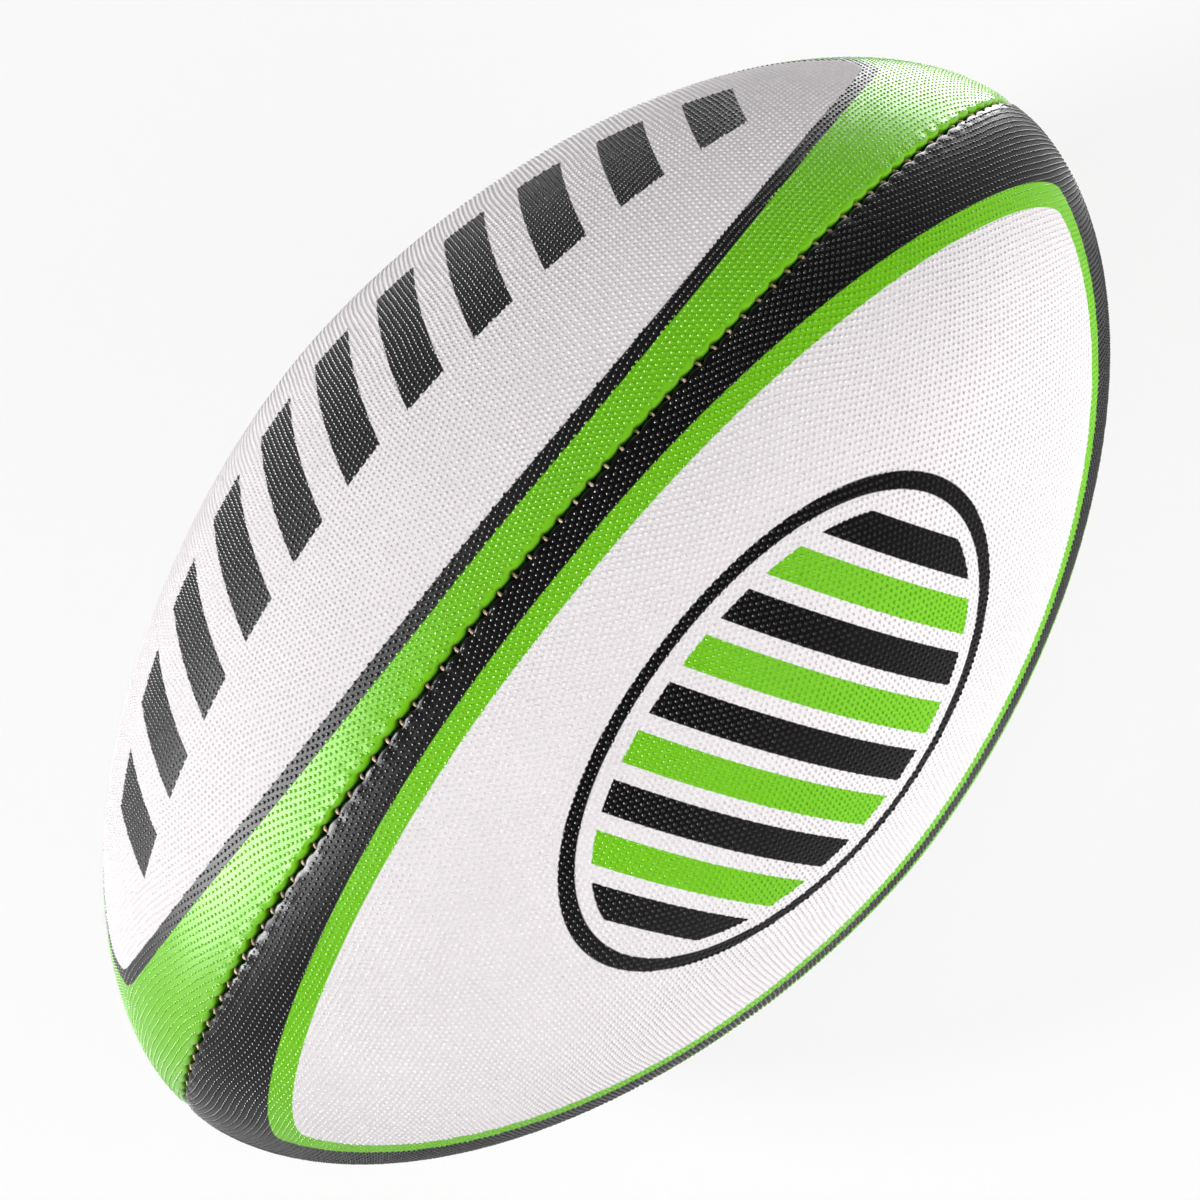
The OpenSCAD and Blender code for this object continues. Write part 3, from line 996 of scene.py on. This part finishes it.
thread = thread_tree()
waxed = waxed_finish()
for number in range(1, 5):
    name = f"stitching_{number}"
    points = thread_path(-1 if number % 2 else 1)
    mesh = bpy.data.meshes.new(name)
    mesh.from_pydata(points, [(i, i + 1) for i in range(len(points) - 1)], [])
    mesh.transform(Matrix.Rotation(math.radians(90 * (number - 1)), 4, "X"))
    stitching = shown(name, mesh)
    stitching.data = grow(stitching, thread, {
        "Diameter": THREAD_DIAMETER, "Turns per metre": THREAD_TURNS, "Plies": THREAD_PLIES, "Finish": waxed,
    })
    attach(stitching, "ball")
    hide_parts(f"seam_thread_{number}")
    print(name, "faces:", len(stitching.data.polygons))

# %% [markdown]
# The layers inside
# Two woven plies back each panel, and a rubber bladder fills them. Their solids are right as they are, so
# they only get materials. A weave follows the ball: one set of yarns runs along X and the other round it,
# so the angle about X, times a middle radius, is the second coordinate. Sines make the yarns, and their
# product says which lies on top. The colour darkens where a yarn dips, which is painted shade in the
# hollows of the weave.

# %% The woven plies
WEAVE_RADIUS = 70 * MM
WEAVE_DEPTH = 0.15 * MM
WEAVE_SPECULAR = 0.25
SLUB_SCALE = 420.0


def woven_finish(name, light, dark, yarn_pitch):
    material, graph = new_finish(name)
    x, y, z = graph.node("ShaderNodeSeparateXYZ", None, {"Vector": object_place(graph)}, ("X", "Y", "Z"))
    turns = math.pi / yarn_pitch
    warp = graph.math("SINE", x * turns)
    weft = graph.math("SINE", graph.math("ARCTAN2", y, z) * (WEAVE_RADIUS * turns))
    over = graph.clamp(warp * weft * 2 + 0.5)
    height = abs(warp) * over + abs(weft) * (1 - over)
    slub = grain(graph, SLUB_SCALE, 3.0)
    # The colour runs from dark where a yarn dips to light on its crown: painted shade in the weave's
    # hollows, varied at random by the slubs.
    colour = graph.mix(graph.clamp(height * (0.75 + 0.5 * slub)), dark, light)
    close_finish(graph, colour, 0.82 + 0.12 * slub, height, WEAVE_DEPTH, WEAVE_SPECULAR)
    return material


# Each weave gets its yarn colour, a darker colour that paints the shade in its hollows, and its yarn pitch.
PLY_FINISHES = {
    "outer_ply": woven_finish("outer_ply_weave", linear(224, 220, 205), linear(150, 144, 128), 0.7 * MM),
    "inner_ply": woven_finish("inner_ply_weave", linear(205, 196, 176), linear(132, 122, 100), 0.9 * MM),
}
print("weaves:", [material.name for material in PLY_FINISHES.values()])

# %% [markdown]
# Bladder and valve
# These are moulded rubber. The bladder and its patch are dusted with talc, so that they don't stick, and
# the valve and its plug have a mould's fine grain. One function makes all three from a colour, a dust and
# a gloss.

# %% Moulded rubber
DUST_SCALE = 90.0
MOULD_SCALE = 3000.0
MOULD_DEPTH = 0.06 * MM
MOULD_SPECULAR = 0.4
DUST_ROUGHNESS = 0.25


def rubber_finish(name, colour, dust_colour, dust, roughness):
    material, graph = new_finish(name)
    cloud = grain(graph, DUST_SCALE, 5.0)
    fine = grain(graph, MOULD_SCALE, 2.0)
    dusted = graph.clamp((cloud + 0.4 * fine - 0.6) * dust)
    shown_colour = graph.mix(dusted, colour, dust_colour)
    close_finish(graph, shown_colour, roughness + DUST_ROUGHNESS * dusted, fine, MOULD_DEPTH, MOULD_SPECULAR)
    return material


RUBBER_FINISHES = {
    "bladder_rubber": rubber_finish("talced_bladder", linear(52, 52, 56), linear(150, 148, 144), 1.6, 0.55),
    "valve_rubber": rubber_finish("moulded_valve", linear(66, 66, 68), linear(120, 118, 114), 0.9, 0.5),
    "plug_rubber": rubber_finish("moulded_plug", linear(30, 30, 32), linear(84, 82, 80), 0.7, 0.38),
}
print("rubbers:", [material.name for material in RUBBER_FINISHES.values()])

# %% Materials for the solids that stay
SOLID_FINISHES = {**PLY_FINISHES, **RUBBER_FINISHES}
finished = []
for part in frame["record"]["subparts"]:
    finish = SOLID_FINISHES.get(part["material_slot"])
    if finish:
        solid = frame["nodes"][part["node"]]
        solid.data.materials.clear()
        solid.data.materials.append(finish)
        finished.append(part["node"])
print("solids with a finish:", len(finished))

# %% [markdown]
# Floor, light and background
# The ball lies on a plain pale floor. Turning up the lamps until the floor is white would bleach the
# ball, so the floor mixes in a white glow that only the camera and reflections see, and the ball's shadow
# stays on it. The world is as pale as the far floor at the horizon, as a studio's walls are, and dim
# overhead, so that black rubber stays black. The camera and reflections see higher walls than those that
# light the ball.

# %% The floor and the world
FLOOR_COLOUR = (0.9, 0.9, 0.9, 1)
PURE_WHITE = (1, 1, 1, 1)
FLOOR_HALF = 40.0
FLOOR_GLOW = 0.8
CEILING_LIGHT = 0.17
WALL_LIGHT = 0.84
WALL_TOP = 0.16
SEEN_WALL_TOP = 0.4


def seen_directly(graph):
    """1 for rays from the camera and for reflected and refracted ones."""
    kinds = ("Is Camera Ray", "Is Glossy Ray", "Is Transmission Ray")
    straight, glossy, refracted = graph.node("ShaderNodeLightPath", output=kinds)
    return graph.clamp(straight + glossy + refracted)


def floor_finish():
    material, graph = new_finish("pale_floor")
    matt = graph.node("ShaderNodeBsdfDiffuse", None, {"Color": FLOOR_COLOUR})
    glow = graph.node("ShaderNodeEmission", None, {"Color": PURE_WHITE, "Strength": 1.0})
    factor = seen_directly(graph) * FLOOR_GLOW
    shader = graph.node("ShaderNodeMixShader", None, {0: factor, 1: matt, 2: glow})
    graph.node("ShaderNodeOutputMaterial", None, {"Surface": shader})
    return material


floor_level = -HALF_WIDTH - PIMPLE_HEIGHT
floor_mesh = bpy.data.meshes.new("floor")
floor_corners = [(-1, -1), (1, -1), (1, 1), (-1, 1)]
floor_points = [(FLOOR_HALF * x, FLOOR_HALF * y, floor_level) for x, y in floor_corners]
floor_mesh.from_pydata(floor_points, [], [(0, 1, 2, 3)])
floor_mesh.materials.append(floor_finish())
floor = shown("floor", floor_mesh)

world = bpy.data.worlds.new("studio")
world.use_nodes = True
world.node_tree.nodes.clear()
sky = Graph(world.node_tree)
view_direction = sky.node("ShaderNodeTexCoord", output="Generated")
upward = sky.node("ShaderNodeSeparateXYZ", None, {"Vector": view_direction}, "Z")
wall_top = WALL_TOP + (SEEN_WALL_TOP - WALL_TOP) * seen_directly(sky)
wall = sky.clamp((wall_top - upward) / wall_top * 2)
strength = CEILING_LIGHT + (WALL_LIGHT - CEILING_LIGHT) * wall
backdrop = sky.node("ShaderNodeBackground", None, {"Color": PURE_WHITE, "Strength": strength})
sky.node("ShaderNodeOutputWorld", None, {"Surface": backdrop})
scene.world = world
print("floor level in mm:", round(1000 * floor_level, 1))

# %% [markdown]
# The lamps
# A lamp on the left, a wide one on the right and a weak fill over the camera light the ball. How much a
# lamp lights and how brightly it is mirrored are set apart here, because a lamp that makes every pimple
# glint would bleach the white print. So two more are seen in reflections alone, a wide one on the left
# and a small one close behind the far end, and the three that light the ball are not mirrored in it.

# %% The lamps
def lamp(name, toward, distance, side, watts, lights=True, mirrored=True):
    """A square soft lamp that faces the ball; toward is its direction along the picture's axes."""
    right, up, back = toward
    direction = (right * camera_right + up * camera_up + back * toward_camera).normalized()
    light = bpy.data.lights.new(name, "AREA")
    light.shape = "SQUARE"
    light.size = side
    light.energy = watts
    holder = bpy.data.objects.new(name, light)
    holder.location = direction * distance
    holder.rotation_euler = direction.to_track_quat("Z", "Y").to_euler()
    holder.visible_camera = False
    holder.visible_diffuse = lights
    holder.visible_glossy = mirrored
    scene.collection.objects.link(holder)


lamp("left_light", (-0.83, -0.1, 0.5), distance=0.95, side=0.2, watts=5.6, mirrored=False)
lamp("left_sheen", (-0.925, -0.17, 0.34), distance=0.95, side=0.66, watts=30.0, lights=False)
lamp("right_light", (0.85, -0.2, 0.5), distance=0.9, side=0.8, watts=7.7, mirrored=False)
lamp("far_sheen", (0.355, 0.92, -0.188), distance=0.24, side=0.12, watts=0.5, lights=False)
lamp("camera_fill", (-0.1, 0.1, 1.0), distance=1.2, side=0.7, watts=1.85, mirrored=False)
